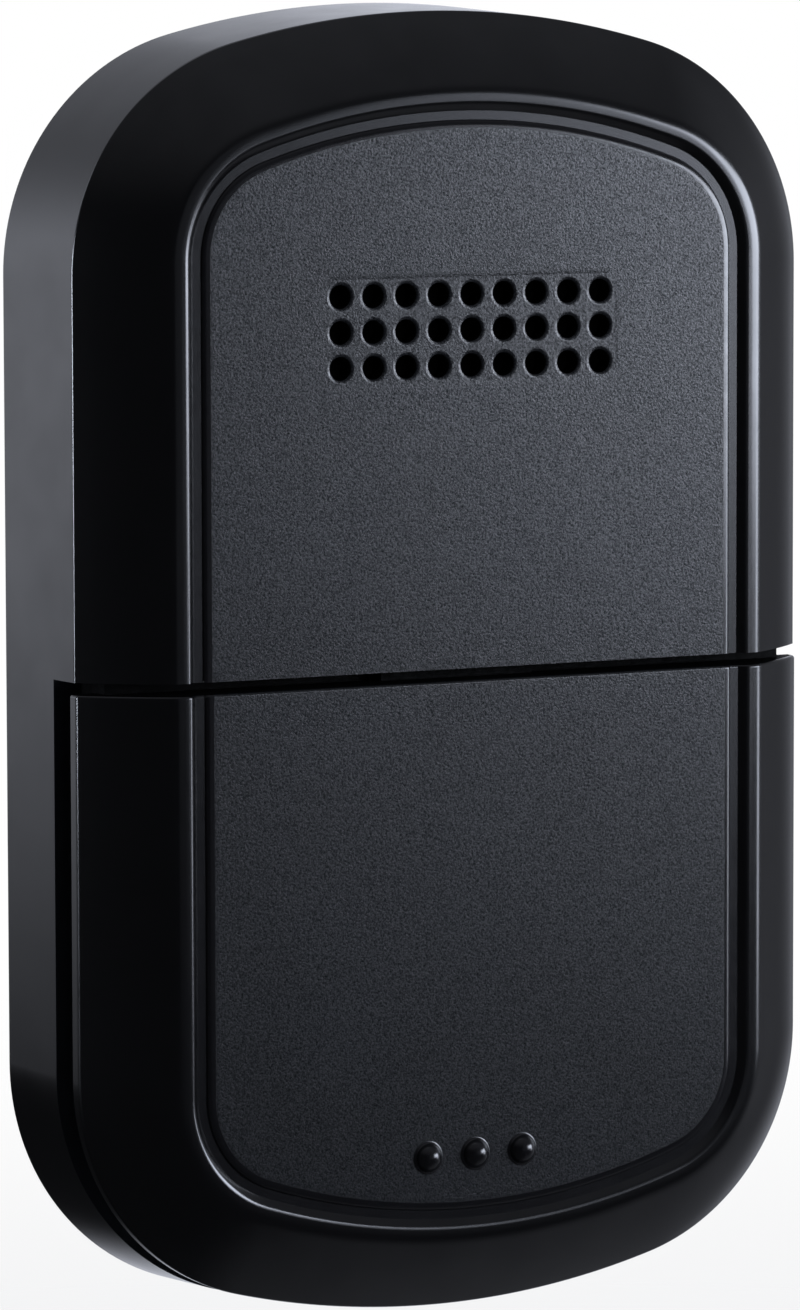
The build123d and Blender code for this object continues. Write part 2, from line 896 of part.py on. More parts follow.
nodes = {
    "front_housing": front_housing,
    "battery_cover": battery_cover,
    "rear_plate": rear_plate,
    "housing_screws": housing_screws,
    "circuit_board": circuit_board,
    "board_screws": board_screws,
    "sounder_case": sounder_case,
    "sounder_disc": sounder_disc,
    "sounder_ceramic": sounder_ceramic,
    "sounder_pins": sounder_pins,
    "acoustic_gasket": acoustic_gasket,
    "dust_mesh": dust_mesh,
    "battery_holder": battery_holder,
    "positive_contact": positive_contact,
    "negative_contact": negative_contact,
    "cell_can": cell_can,
    "cell_seal": cell_seal,
    "cell_cap": cell_cap,
    "learn_switch_base": switch_base,
    "learn_switch_plate": switch_plate_cover,
    "learn_button": learn_button,
    "status_indicator": status_indicator,
    "light_pipe": light_pipe,
    "radio_shield": radio_shield,
    "processor": processor,
    "crystal": crystal,
    "motion_sensor": motion_sensor,
    "capacitor_base": capacitor_base,
    "capacitor_can": capacitor_can,
    "antenna": antenna,
    "chip_resistors": chip_resistors,
    "filter_capacitors": filter_capacitors,
}

for name, make in nodes.items():
    export_step(stand_up(make()), f"parts/{name}.step")
    print("wrote", name)
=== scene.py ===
import json
import math
import bmesh
import bpy
from mathutils import Matrix, Vector


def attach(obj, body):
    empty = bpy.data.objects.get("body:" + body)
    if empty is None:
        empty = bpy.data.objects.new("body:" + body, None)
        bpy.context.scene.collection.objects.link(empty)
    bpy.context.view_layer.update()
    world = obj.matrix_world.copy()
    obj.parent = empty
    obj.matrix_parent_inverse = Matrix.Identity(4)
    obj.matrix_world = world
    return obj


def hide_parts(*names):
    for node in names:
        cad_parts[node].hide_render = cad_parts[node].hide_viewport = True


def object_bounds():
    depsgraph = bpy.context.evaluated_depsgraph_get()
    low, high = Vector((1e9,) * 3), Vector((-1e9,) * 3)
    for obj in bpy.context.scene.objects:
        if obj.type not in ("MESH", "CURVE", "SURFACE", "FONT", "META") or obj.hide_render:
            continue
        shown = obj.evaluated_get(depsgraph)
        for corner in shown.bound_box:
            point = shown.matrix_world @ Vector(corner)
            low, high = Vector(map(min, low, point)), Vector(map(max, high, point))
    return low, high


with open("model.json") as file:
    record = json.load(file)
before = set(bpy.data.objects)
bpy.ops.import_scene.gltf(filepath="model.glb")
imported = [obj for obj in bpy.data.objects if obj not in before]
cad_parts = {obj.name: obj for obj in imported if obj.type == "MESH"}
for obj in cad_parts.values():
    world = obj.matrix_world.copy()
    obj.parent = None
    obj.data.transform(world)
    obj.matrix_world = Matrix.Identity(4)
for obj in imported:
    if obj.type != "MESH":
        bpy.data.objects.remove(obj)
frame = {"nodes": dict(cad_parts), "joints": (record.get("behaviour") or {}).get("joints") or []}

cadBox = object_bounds()  # the CAD box, before anything is added

# Pieces are drawn in millimetres, lying on their back: x across, y up the face, z off the wall.
# standUp turns them upright and makes them metres, so that the face looks along -Y.
millimetre = 0.001
standUp = Matrix.Rotation(math.radians(90), 4, "X") @ Matrix.Scale(millimetre, 4)


# Materials of the two mouldings.

# sRGB hex colour as the linear colour that the shader sockets take
def linear(hexColour):
    parts = [int(hexColour[i:i + 2], 16) / 255 for i in (1, 3, 5)]
    straight = [p / 12.92 if p <= 0.04045 else ((p + 0.055) / 1.055) ** 2.4 for p in parts]
    return (*straight, 1.0)


# Adds a node: inputs holds numbers, colours or sockets to link, settings the node's own fields
def addNode(tree, kind, inputs=None, **settings):
    node = tree.nodes.new("ShaderNode" + kind)
    for name, value in settings.items():
        setattr(node, name, value)
    for name, value in (inputs or {}).items():
        if isinstance(value, bpy.types.NodeSocket):
            tree.links.new(value, node.inputs[name])
        else:
            node.inputs[name].default_value = value
    return node


# Principled material on Object coordinates; values go straight on the shader's sockets
def newMaterial(name, **values):
    material = bpy.data.materials.new(name)
    material.use_nodes = True
    tree = material.node_tree
    shader = tree.nodes["Principled BSDF"]
    for socket, value in values.items():
        shader.inputs[socket.replace("_", " ")].default_value = value
    place = addNode(tree, "TexCoord").outputs["Object"]
    return material, tree, shader, place


# Pattern scale for spots of about this many real millimetres
def perMetre(spotMm):
    return 1 / (spotMm * millimetre)


# What every moulded surface has in common: how far its colour drifts over the piece, and which
# part of the grain noise counts as a pit and which as a top
moulding = {
    "driftMm": 14.0,
    "grainDetail": 2.0,
    "grainRoughness": 0.6,
    "colourRange": (0.1, 0.42),
    "pitAndTop": (0.28, 0.72),
}


# Moulded plastic: a colour that drifts a little, a grain, and roughness and a specular level that
# follow it.
# The specular level is turned down in the pits of the grain as painted shade, standing in for the
# pits' self-shadowing; this painted shade is what makes a grain visible.
def mouldedPlastic(
    name, dark, light, roughness, grainMm, reliefMm, spread=0.06, pitShadedSpecular=(0.45, 0.55), **values
):
    material, tree, shader, place = newMaterial(name, **values)
    grain = addNode(tree, "TexNoise", {
        "Vector": place, "Scale": perMetre(grainMm),
        "Detail": moulding["grainDetail"], "Roughness": moulding["grainRoughness"],
    }).outputs["Fac"]
    drift = addNode(
        tree, "TexNoise", {"Vector": place, "Scale": perMetre(moulding["driftMm"]), "Detail": 1.0}
    ).outputs["Fac"]
    mixed = addNode(tree, "Math", {0: grain, 1: drift}, operation="MULTIPLY").outputs[0]
    darkest, lightest = moulding["colourRange"]
    ramp = addNode(
        tree, "MapRange", {"Value": mixed, "From Min": darkest, "From Max": lightest}
    ).outputs[0]
    colour = addNode(
        tree, "Mix", {"Factor": ramp, 6: linear(dark), 7: linear(light)}, data_type="RGBA"
    ).outputs[2]
    tree.links.new(colour, shader.inputs["Base Color"])
    pit, top = moulding["pitAndTop"]
    tops = {"Value": grain, "From Min": pit, "From Max": top}
    rough = addNode(
        tree, "MapRange", {**tops, "To Min": roughness + spread, "To Max": roughness - spread}
    )
    tree.links.new(rough.outputs[0], shader.inputs["Roughness"])
    # Painted shade: a lower specular level in the grain's pits, the full level on its tops
    pitShade = addNode(tree, "MapRange", {**tops, "To Min": pitShadedSpecular[0], "To Max": pitShadedSpecular[1]})
    tree.links.new(pitShade.outputs[0], shader.inputs["Specular IOR Level"])
    relief = reliefMm * millimetre
    bump = addNode(tree, "Bump", {"Height": grain, "Distance": relief, "Strength": 1.0})
    tree.links.new(bump.outputs[0], shader.inputs["Normal"])
    return material


# Marks on metal: the shares of the roughness between which they vary it, and how ragged they are
metalMarks = {"smoothest": 0.7, "roughest": 1.3, "detail": 3.0, "raggedness": 0.6}


# Metal with fine marks left by drawing or plating.
def platedMetal(name, colour, roughness, markMm, reliefMm, stretch=(1, 1, 1)):
    material, tree, shader, place = newMaterial(name, Base_Color=linear(colour), Metallic=1.0)
    turned = addNode(tree, "Mapping", {"Vector": place, "Scale": stretch}).outputs[0]
    marks = addNode(tree, "TexNoise", {
        "Vector": turned, "Scale": perMetre(markMm),
        "Detail": metalMarks["detail"], "Roughness": metalMarks["raggedness"],
    }).outputs["Fac"]
    rough = addNode(tree, "MapRange", {
        "Value": marks,
        "To Min": roughness * metalMarks["smoothest"],
        "To Max": roughness * metalMarks["roughest"],
    })
    tree.links.new(rough.outputs[0], shader.inputs["Roughness"])
    bump = addNode(tree, "Bump", {"Height": marks, "Distance": reliefMm * millimetre})
    tree.links.new(bump.outputs[0], shader.inputs["Normal"])
    return material


# Side wall from a lightly blasted mould: a soft grey sheen that fades evenly down the wall
satinAbs = mouldedPlastic("satinBlastedAbs", "#141518", "#191b1e", 0.2, 0.3, 0.003)
# Band from a mirror polished mould: near black, with clear reflections and bright lines on its
# crest and its outer edge
polishedAbs = mouldedPlastic("polishedAbs", "#040405", "#060607", 0.19, 6.0, 0.004, 0.02, IOR=1.53)
# Narrow strip of the same mould, a little duller where the polishing tool cannot reach
stripAbs = mouldedPlastic("polishedStripAbs", "#08080a", "#0b0b0d", 0.2, 1.2, 0.002, 0.03)
# Face from a spark eroded mould: charcoal, with a dense fine pebble that breaks up the light.
# The real grain is about 0.1 mm, too fine for the picture, so it is drawn at 0.15 mm.
erodedAbs = mouldedPlastic(
    "sparkErodedAbs", "#07080a", "#0e1013", 0.3, 0.15, 0.022, 0.024, (0.12, 0.76)
)
# Inside faces, gap walls and hole bores, from a plainly milled mould: black, made darker and
# duller than the plastic is, as painted shade in the gaps and holes
innerAbsPaintedShade = mouldedPlastic(
    "milledMouldAbsPaintedShade", "#040404", "#070707", 0.6, 0.5, 0.008, 0.05, (0.03, 0.06)
)
mouldingSlots = [satinAbs, polishedAbs, stripAbs, erodedAbs, innerAbsPaintedShade]
print("materials of the mouldings made")


# Ring work shared by the housing and the cover. Sizes are in millimetres, depths are measured
# off the wall and insets in from the outline.

case = {
    "halfWidth": 33.6,
    "halfHeight": 53.35,
    "corner": 19.2,
    "crown": 74.7,
    "crestSideInset": 7.2,
    "crestEndInset": 6.9,
    "crestCorner": 10.5,
    "crestCrown": 61.4,
    "edgeDepth": 11.45,
    "faceDepth": 16.4,
    "crestDepth": 16.6,
    "stripDepth": 16.1,
    "shoulderDepth": 8.0,
    "deckDepth": 12.4,
    "sideFlare": 0.64,
    "bandBulge": 0.35,
    "crestLand": 1.1,
    "crestRound": 2.2,
    "crestInnerRound": 0.75,
    "slopeWidth": 0.65,
    "stripWidth": 0.75,
    "rollWidth": 0.7,
    "wall": 2.0,
    "deckWall": 1.6,
    "neckInset": 2.2,
    "neckWall": 1.6,
    "bulkhead": 1.6,
    "rearWall": 2.0,
    "rearRebate": 1.1,
    "margin": 1.0,
}

# Order of the material slots on both mouldings
zones = ["side", "band", "strip", "face", "inner"]

# How finely the shared section and outline are drawn, and where its rounds meet the band
section = {
    "cornerSteps": 36,
    "crownSteps": 20,
    "edgeSteps": 5,
    "edgeTangent": 0.08,
    "bandStart": 0.13,
    "bandEnd": 0.9,
    "bandSteps": 16,
    "crestSteps": 8,
    "rollSteps": 6,
    "weld": 0.0001,
}
joinWithin = 0.0005  # points of a tool or a cut that lie this close belong together


# Quarter of the rounded outline at one inset and depth, spun from one vertex: straight side,
# corner arc and half the crown. The radii change evenly from the front edge to the crest.
def quarterChain(bm, inset, depth):
    share = inset / case["crestSideInset"]
    side = case["halfWidth"] - inset
    end = case["halfHeight"] - case["crestEndInset"] * share
    corner = case["corner"] + (case["crestCorner"] - case["corner"]) * share
    crown = case["crown"] + (case["crestCrown"] - case["crown"]) * share
    cornerX = side - corner
    crownY = end - crown
    cornerY = crownY + math.sqrt((crown - corner) ** 2 - cornerX ** 2)
    turn = math.atan2(cornerY - crownY, cornerX)
    before = set(bm.edges)
    start = bm.verts.new((side, 0, depth))
    foot = bm.verts.new((side, cornerY, depth))
    bm.edges.new((start, foot))
    arc = {"axis": (0, 0, 1), "dvec": (0, 0, 0), "use_duplicate": False}
    first = bmesh.ops.spin(
        bm, geom=[foot], cent=(cornerX, cornerY, depth), angle=turn,
        steps=section["cornerSteps"], **arc,
    )
    last = [v for v in first["geom_last"] if isinstance(v, bmesh.types.BMVert)]
    bmesh.ops.spin(
        bm, geom=last, cent=(0, crownY, depth), angle=math.pi / 2 - turn,
        steps=section["crownSteps"], **arc,
    )
    return [edge for edge in bm.edges if edge not in before]


def everything(bm):
    return bm.verts[:] + bm.edges[:] + bm.faces[:]


# Fills the open ends and turns all faces outwards
def closeEnds(bm):
    openEdges = [edge for edge in bm.edges if edge.is_boundary]
    caps = bmesh.ops.holes_fill(bm, edges=openEdges, sides=0)["faces"]
    for cap in caps:
        cap.material_index = zones.index("inner")
    bmesh.ops.recalc_face_normals(bm, faces=bm.faces[:])
    return caps


# Closed solid through rings of (inset, depth, zone); the zone names the surface up to that ring.
def ringSolid(rings, capZone="inner"):
    bm = bmesh.new()
    chains = [quarterChain(bm, inset, depth) for inset, depth, zone in rings]
    for low, high, ring in zip(chains, chains[1:], rings[1:]):
        made = bmesh.ops.bridge_loops(bm, edges=low + high)
        for face in made["faces"]:
            face.material_index = zones.index(ring[2])
    weld = section["weld"]
    for axis in ("X", "Y"):
        bmesh.ops.mirror(bm, geom=everything(bm), matrix=Matrix(), merge_dist=weld, axis=axis)
    bmesh.ops.remove_doubles(bm, verts=bm.verts[:], dist=weld)
    for cap in closeEnds(bm):
        if cap.calc_center_median().z > (rings[0][1] + rings[-1][1]) / 2:
            cap.material_index = zones.index(capZone)
    return bm


# Points of a round between two lines that meet at b.
def roundAt(a, b, c, radius, steps):
    a, b, c = Vector(a), Vector(b), Vector(c)
    toA = (a - b).normalized()
    toC = (c - b).normalized()
    half = toA.angle(toC) / 2
    reach = radius / math.tan(half)
    centre = b + (toA + toC).normalized() * (radius / math.sin(half))
    start = b + toA * reach - centre
    turn = math.pi - 2 * half
    if start.cross(b + toC * reach - centre) < 0:
        turn = -turn
    points = []
    for step in range(steps + 1):
        spun = Matrix.Rotation(turn * step / steps, 2) @ start
        points.append(tuple(centre + spun))
    return points


# Section from the front edge in to the raised face, as rings. The round of the edge is polished
# with the band, so that it can carry a lit line.
def faceRings(lift, lowRing, edgeRound):
    edge = case["edgeDepth"] + lift
    crest = case["crestDepth"] + lift
    strip = case["stripDepth"] + lift
    face = case["faceDepth"] + lift
    rim = case["crestSideInset"] - case["crestLand"] / 2
    slopeTop = rim + case["crestLand"]
    slopeFoot = slopeTop + case["slopeWidth"]
    step = slopeFoot + case["stripWidth"]
    rise = crest - edge

    # Convex band: share 0 is its outer edge, 1 the crest
    def bandPoint(share):
        bulge = 4 * case["bandBulge"] * share * (1 - share)
        return (rim * share, edge + rise * share + bulge)

    start, end, steps = section["bandStart"], section["bandEnd"], section["bandSteps"]
    crestSteps, rollSteps = section["crestSteps"], section["rollSteps"]
    tangent = bandPoint(section["edgeTangent"])
    points = roundAt(lowRing[:2], (0, edge), tangent, edgeRound, section["edgeSteps"])
    points += [bandPoint(start + (end - start) * part / steps) for part in range(steps + 1)]
    points += roundAt(
        bandPoint(end), (rim, crest), (slopeTop, crest), case["crestRound"], crestSteps
    )
    points += roundAt(
        (rim, crest), (slopeTop, crest), (slopeFoot, strip), case["crestInnerRound"], crestSteps
    )
    points.append((slopeFoot, strip))
    rings = [lowRing] + [point + ("band",) for point in points]
    rings.append((step, strip, "strip"))
    for part in range(1, rollSteps + 1):
        angle = math.pi / 2 * part / rollSteps
        inset = step + case["rollWidth"] * (1 - math.cos(angle))
        rings.append((inset, strip + (face - strip) * math.sin(angle), "strip"))
    rings.append((inset + case["rollWidth"] / 2, face, "face"))
    return rings


# Object with the five zones' materials; the bmesh is used up
def toObject(bm, name):
    mesh = bpy.data.meshes.new(name)
    bm.to_mesh(mesh)
    bm.free()
    for material in mouldingSlots:
        mesh.materials.append(material)
    obj = bpy.data.objects.new(name, mesh)
    bpy.context.scene.collection.objects.link(obj)
    return obj


# Cuts a tool away from a piece, or joins it on, and drops the tool.
def carve(target, tool, operation="DIFFERENCE"):
    modifier = target.modifiers.new("carve", "BOOLEAN")
    modifier.operation = operation
    modifier.solver = "EXACT"
    modifier.object = tool
    shaped = target.evaluated_get(bpy.context.evaluated_depsgraph_get())
    mesh = bpy.data.meshes.new_from_object(shaped)
    target.modifiers.clear()
    target.data = mesh
    bpy.data.objects.remove(tool)


# Level cut at a height; clear_outer drops what is above it, clear_inner what is below
def cutLevel(bm, height, **drop):
    bmesh.ops.bisect_plane(
        bm, geom=everything(bm), plane_co=(0, height, 0), plane_no=(0, 1, 0), **drop
    )


def straightRings(inset, low, high):
    return [(inset, low, "inner"), (inset, high, "inner")]


# Gives the faces at these points the material of a zone
def paint(verts, zone):
    for face in {face for vert in verts for face in vert.link_faces}:
        face.material_index = zones.index(zone)


# Round post or bore along z
def addPost(bm, across, up, diameter, low, high, segments=48):
    place = Matrix.Translation((across, up, (low + high) / 2))
    made = bmesh.ops.create_cone(
        bm, cap_ends=True, segments=segments, radius1=diameter / 2, radius2=diameter / 2,
        depth=high - low, matrix=place,
    )
    paint(made["verts"], "inner")


# Block between two opposite corners
def addBlock(bm, low, high, zone="inner"):
    low, high = Vector(low), Vector(high)
    size = Matrix.Diagonal((high - low).to_4d())
    size[3][3] = 1
    place = Matrix.Translation((low + high) / 2) @ size
    made = bmesh.ops.create_cube(bm, size=1, matrix=place)
    paint(made["verts"], zone)


# Round tool spun from the (radius, height) points of its section
def spinTool(bm, profile, x, y, level, steps):
    verts = [bm.verts.new((x + r, y, level + z)) for r, z in profile]
    edges = [bm.edges.new(pair) for pair in zip(verts, verts[1:])]
    bmesh.ops.spin(
        bm, geom=verts + edges, cent=(x, y, 0), axis=(0, 0, 1), dvec=(0, 0, 0),
        angle=math.tau, steps=steps, use_merge=True, use_duplicate=False,
    )


# Joins the spun sections of round tools and turns their faces outwards
def closeTools(bm):
    bmesh.ops.remove_doubles(bm, verts=bm.verts[:], dist=joinWithin)
    bmesh.ops.recalc_face_normals(bm, faces=bm.faces[:])


# Points closer than this are one point; edges sharper than this many degrees stay crisp
finish = {"weldMetres": 0.0000005, "sharpAngle": 32}


# Ready piece: upright, in metres, smooth with crisp edges, riding on its body in its node's place.
def finishPiece(obj, body, slotName, *nodes):
    mesh = obj.data
    mesh.transform(standUp)
    bm = bmesh.new()
    bm.from_mesh(mesh)
    bmesh.ops.remove_doubles(bm, verts=bm.verts[:], dist=finish["weldMetres"])
    bmesh.ops.dissolve_degenerate(bm, edges=bm.edges[:], dist=finish["weldMetres"])
    bm.to_mesh(mesh)
    bm.free()
    mesh.shade_smooth()
    mesh.set_sharp_from_angle(angle=math.radians(finish["sharpAngle"]))
    weighted = obj.modifiers.new("weighted", "WEIGHTED_NORMAL")
    weighted.keep_sharp = True
    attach(obj, body)
    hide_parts(*nodes)


# Front housing.

housing = {
    "edgeRound": 0.3,
    "screwAcross": 23.5,
    "screwUp": 40.6,
    "screwBoss": 5.8,
    "screwBore": 2.24,
    "screwDepth": 11.0,
    "postAcross": 26.2,
    "postUp": 10.5,
    "postDown": -30.5,
    "post": 4.8,
    "postBore": 1.74,
    "boardFront": 5.8,
    "boardScrewDepth": 11.8,
    "roofDepth": 14.4,
    "wellHeight": -43.0,
    "wellBore": 8.6,
    "wellWall": 1.3,
    "wellFloor": 4.0,
    "batteryHeight": -21.0,
    "batteryBore": 29.8,
    "buttonAcross": 18.5,
    "buttonHeight": -14.0,
    "buttonBore": 5.4,
    "lightHeight": -24.5,
    "lightBore": 2.3,
    "tongueHalf": 7.2,
    "tongueTop": 14.07,
    "railDepths": (10.55, 11.85),
    "railStart": -5.85,
    "railInner": 30.5,
    "roofOverlap": 0.5,
}

# The sounder's grille: a sunk patch with holes in rows, drawn with small rounded rims
grille = {
    "height": 27.6,
    "columns": 9,
    "rows": 3,
    "pitch": 3.0,
    "rowPitch": 2.89,
    "bore": 1.9,
    "rimWidth": 0.38,
    "overlap": 0.003,
    "rimDepth": 0.13,
    "patchWidth": 26.9,
    "patchHeight": 8.6,
    "patchSink": 0.12,
    "patchCorner": 0.8,
    "patchSlope": 0.45,
    "patchSteps": 6,
    "rimSteps": 6,
    "holeSteps": 36,
}


# Everything in front of the shoulder below the seam, except the neck: the cover's place.
def coverRoom():
    bm = bmesh.new()
    reach = case["halfHeight"] + 10  # past the outline on all sides
    high = case["faceDepth"] + 4
    addBlock(bm, (-reach, -reach, case["shoulderDepth"]), (reach, 0, high), "side")
    room = toObject(bm, "coverRoom")
    neck = ringSolid(straightRings(case["neckInset"], 0, case["deckDepth"]))
    carve(room, toObject(neck, "neck"))
    return room


# The room behind the upper face, under the shoulder, in the neck, and the rear plate's rebate
def hollows():
    slopeStart = case["edgeDepth"] - case["wall"] / 2
    below = -case["margin"]
    upper = ringSolid([
        (case["wall"], below, "inner"),
        (case["wall"], slopeStart, "inner"),
        (case["crestSideInset"], housing["roofDepth"], "inner"),
    ])
    cutLevel(upper, case["bulkhead"], clear_inner=True)
    closeEnds(upper)
    lower = ringSolid(straightRings(case["wall"], below, case["shoulderDepth"] - case["wall"]))
    deckUnder = case["deckDepth"] - case["deckWall"]
    neck = ringSolid(straightRings(case["neckInset"] + case["neckWall"], below, deckUnder))
    rebate = ringSolid(straightRings(case["rearRebate"], below, case["rearWall"]))
    return [toObject(bm, "hollow") for bm in (upper, lower, neck, rebate)]


def screwPlaces():
    across, up = housing["screwAcross"], housing["screwUp"]
    return [(x, y) for x in (-across, across) for y in (-up, up)]


def postPlaces():
    across = housing["postAcross"]
    return [(x, y) for x in (-across, across) for y in (housing["postDown"], housing["postUp"])]


# Posts reach a little into the roof or the deck, so that they join them.
def postTop(up):
    if up > 0:
        return housing["roofDepth"] + housing["roofOverlap"]
    return case["deckDepth"] - case["deckWall"] / 2


def posts():
    bm = bmesh.new()
    for across, up in screwPlaces():
        addPost(bm, across, up, housing["screwBoss"], case["rearWall"], postTop(up))
    for across, up in postPlaces():
        addPost(bm, across, up, housing["post"], housing["boardFront"], postTop(up))
    wellOuter = housing["wellBore"] + 2 * housing["wellWall"]
    addPost(bm, 0, housing["wellHeight"], wellOuter, housing["wellFloor"], postTop(-1))
    return toObject(bm, "posts")


# Screw pilots, cell opening, button and light bores, driver's well, tongue slot and rail grooves
def bores():
    bm = bmesh.new()
    low = case["rearWall"] - case["margin"]
    for across, up in screwPlaces():
        addPost(bm, across, up, housing["screwBore"], low, housing["screwDepth"])
    low = housing["boardFront"] - case["margin"]
    for across, up in postPlaces():
        addPost(bm, across, up, housing["postBore"], low, housing["boardScrewDepth"])
    low = case["deckDepth"] - case["deckWall"] - case["margin"]
    high = case["deckDepth"] + case["margin"]
    addPost(bm, 0, housing["batteryHeight"], housing["batteryBore"], low, high, 128)
    addPost(bm, housing["buttonAcross"], housing["buttonHeight"], housing["buttonBore"], low, high)
    addPost(bm, housing["buttonAcross"], housing["lightHeight"], housing["lightBore"], low, high)
    wellLow = housing["wellFloor"] - case["margin"]
    addPost(bm, 0, housing["wellHeight"], housing["wellBore"], wellLow, high, 64)
    half = housing["tongueHalf"]
    slotTop = housing["tongueTop"]
    slotEnd = case["bulkhead"] + case["margin"]
    addBlock(bm, (-half, -case["margin"], case["deckDepth"]), (half, slotEnd, slotTop))
    low, high = housing["railDepths"]
    foot = -case["halfHeight"] * 2
    reach = case["halfWidth"] * 2
    for side in (-1, 1):
        ends = sorted((side * housing["railInner"], side * reach))
        addBlock(bm, (ends[0], foot, low), (ends[1], housing["railStart"], high))
    return toObject(bm, "bores")


# Sunk patch with round corners, its mouth widened to a soft edge.
def grillePatch():
    bm = bmesh.new()
    top = case["faceDepth"]
    width, height = grille["patchWidth"] / 2, grille["patchHeight"] / 2
    centre = grille["height"]
    low = (-width, centre - height, top - grille["patchSink"])
    rise = grille["patchSink"]
    addBlock(bm, low, (width, centre + height, top + rise), "face")
    upright = [e for e in bm.edges if abs(e.verts[0].co.z - e.verts[1].co.z) > rise]
    bmesh.ops.bevel(
        bm, geom=upright, offset=grille["patchCorner"], segments=grille["patchSteps"],
        profile=0.5, affect="EDGES", material=-1,
    )
    mouth = [v for v in bm.verts if v.co.z > top]
    spread = grille["patchSlope"] * 2
    wider = (1 + spread / width, 1 + spread / height, 1)
    bmesh.ops.scale(bm, vec=wider, space=Matrix.Translation((0, -centre, 0)), verts=mouth)
    return toObject(bm, "patch")


# Holes with rounded rims, each spun from its section.
def grilleHoles():
    bm = bmesh.new()
    radius = grille["bore"] / 2
    rim, rimDepth, steps = grille["rimWidth"], grille["rimDepth"], grille["rimSteps"]
    top = case["faceDepth"] - grille["patchSink"]
    low = housing["roofDepth"] - case["margin"]
    profile = [(0, low), (radius, low), (radius, top - rimDepth)]
    for step in range(1, steps + 1):
        angle = math.pi / 2 * step / steps
        rise = rimDepth * (math.sin(angle) - 1) + grille["overlap"]
        profile.append((radius + rim * (1 - math.cos(angle)), top + rise))
    profile += [(radius + rim, top + case["margin"]), (0, top + case["margin"])]
    for column in range(grille["columns"]):
        for row in range(grille["rows"]):
            x = (column - (grille["columns"] - 1) / 2) * grille["pitch"]
            y = grille["height"] + (row - (grille["rows"] - 1) / 2) * grille["rowPitch"]
            spinTool(bm, profile, x, y, 0, grille["holeSteps"])
    closeTools(bm)
    # The bores take the inner material, whose darkness is painted shade inside the holes
    for face in bm.faces:
        middle = face.calc_center_median().z
        face.material_index = zones.index("face" if middle > top - rimDepth else "inner")
    return toObject(bm, "holes")


frontRings = faceRings(0, (-case["sideFlare"], 0, "side"), housing["edgeRound"])
frontHousing = toObject(ringSolid(frontRings, "face"), "frontHousing")
carve(frontHousing, coverRoom())
for hollow in hollows():
    carve(frontHousing, hollow)
carve(frontHousing, posts(), "UNION")
carve(frontHousing, bores())
carve(frontHousing, grillePatch())
carve(frontHousing, grilleHoles())
finishPiece(frontHousing, "case", "case_plastic", "front_housing")
print("front housing made:", len(frontHousing.data.polygons), "faces")


# Battery cover.

cover = {
    "proud": 0.3,
    "seam": -0.96,
    "lipDepth": 10.7,
    "edgeRound": 0.55,
    "seamRound": 0.26,
    "seamSteps": 4,
    "clearance": 0.15,
    "under": 12.65,
    "endWall": 1.4,
    "railLow": 10.7,
    "railHigh": 11.7,
    "railStart": -6.0,
    "railEnd": -32.0,
    "railReach": 0.85,
    "tongueHalf": 7.0,
    "tongueTip": 3.8,
    "tongueTop": 13.65,
    "tongueRidge": 0.22,
    "ridgeEnds": 0.1,
    "hollowOverlap": 0.3,
    "rib": 1.0,
    "ribAcross": 16.0,
    "ribStart": 0.2,
    "ribBite": 0.4,
    "gripHeight": -40.0,
    "gripPitch": 4.39,
    "gripRadius": 1.22,
    "gripSink": 0.22,
    "gripFillet": 0.3,
    "domeSteps": 12,
    "filletSteps": 8,
    "gripSteps": 48,
}


# Cuts the form off at the seam and rounds the cut edge over, before the end is closed.
def roundSeam(bm, height, radius, steps):
    cutLevel(bm, height, clear_outer=True)
    levels = []
    for step in range(1, steps + 1):
        angle = math.pi / 2 * step / steps
        levels.append((radius * (1 - math.cos(angle)), radius * (1 - math.sin(angle))))
    for back, sink in levels:
        cutLevel(bm, height - back)
    bm.normal_update()
    moves = []
    for back, sink in [(0, radius)] + levels:
        for vert in bm.verts:
            if abs(vert.co.y - (height - back)) < joinWithin:
                moves.append((vert, vert.normal * sink))
    for vert, move in moves:
        vert.co -= Vector((move.x, 0, move.z))
    closeEnds(bm)


# Hollow behind the cover's face, from the neck's opening in to the crest
def coverHollow():
    roof = housing["roofDepth"] + cover["proud"]
    bm = ringSolid([
        (case["neckInset"] + case["wall"] / 2, cover["under"] - cover["hollowOverlap"], "inner"),
        (case["crestSideInset"], roof, "inner"),
    ])
    cutLevel(bm, cover["seam"] - cover["endWall"], clear_outer=True)
    closeEnds(bm)
    return toObject(bm, "coverHollow")


# Three ribs behind the face, kept within a shape a little larger than the hollow
def coverRibs():
    bm = bmesh.new()
    half = cover["rib"] / 2
    top = housing["roofDepth"] + cover["proud"]
    for across in (-cover["ribAcross"], 0, cover["ribAcross"]):
        low = (across - half, -case["halfHeight"], cover["under"])
        high = (across + half, cover["seam"] - cover["endWall"] / 2, top + housing["roofOverlap"])
        addBlock(bm, low, high)
    ribs = toObject(bm, "ribs")
    inset = case["neckInset"] + case["wall"] / 2
    bite = cover["ribBite"]
    shape = ringSolid([
        (inset, cover["under"] - cover["ribStart"], "inner"),
        (case["crestSideInset"] + bite, top + bite, "inner"),
    ])
    cutLevel(shape, cover["seam"] - bite, clear_outer=True)
    closeEnds(shape)
    carve(ribs, toObject(shape, "ribLimit"), "INTERSECT")
    return ribs


def railsAndTongue():
    bm = bmesh.new()
    outer = case["halfWidth"] - case["neckInset"] + cover["clearance"]
    for side in (-1, 1):
        ends = sorted((side * (outer - cover["railReach"]), side * (outer + case["wall"] / 2)))
        low = (ends[0], cover["railEnd"], cover["railLow"])
        addBlock(bm, low, (ends[1], cover["railStart"], cover["railHigh"]))
    half = cover["tongueHalf"]
    root = cover["seam"] - cover["endWall"] / 2
    addBlock(bm, (-half, root, cover["under"]), (half, cover["tongueTip"], cover["tongueTop"]))
    return toObject(bm, "railsAndTongue")


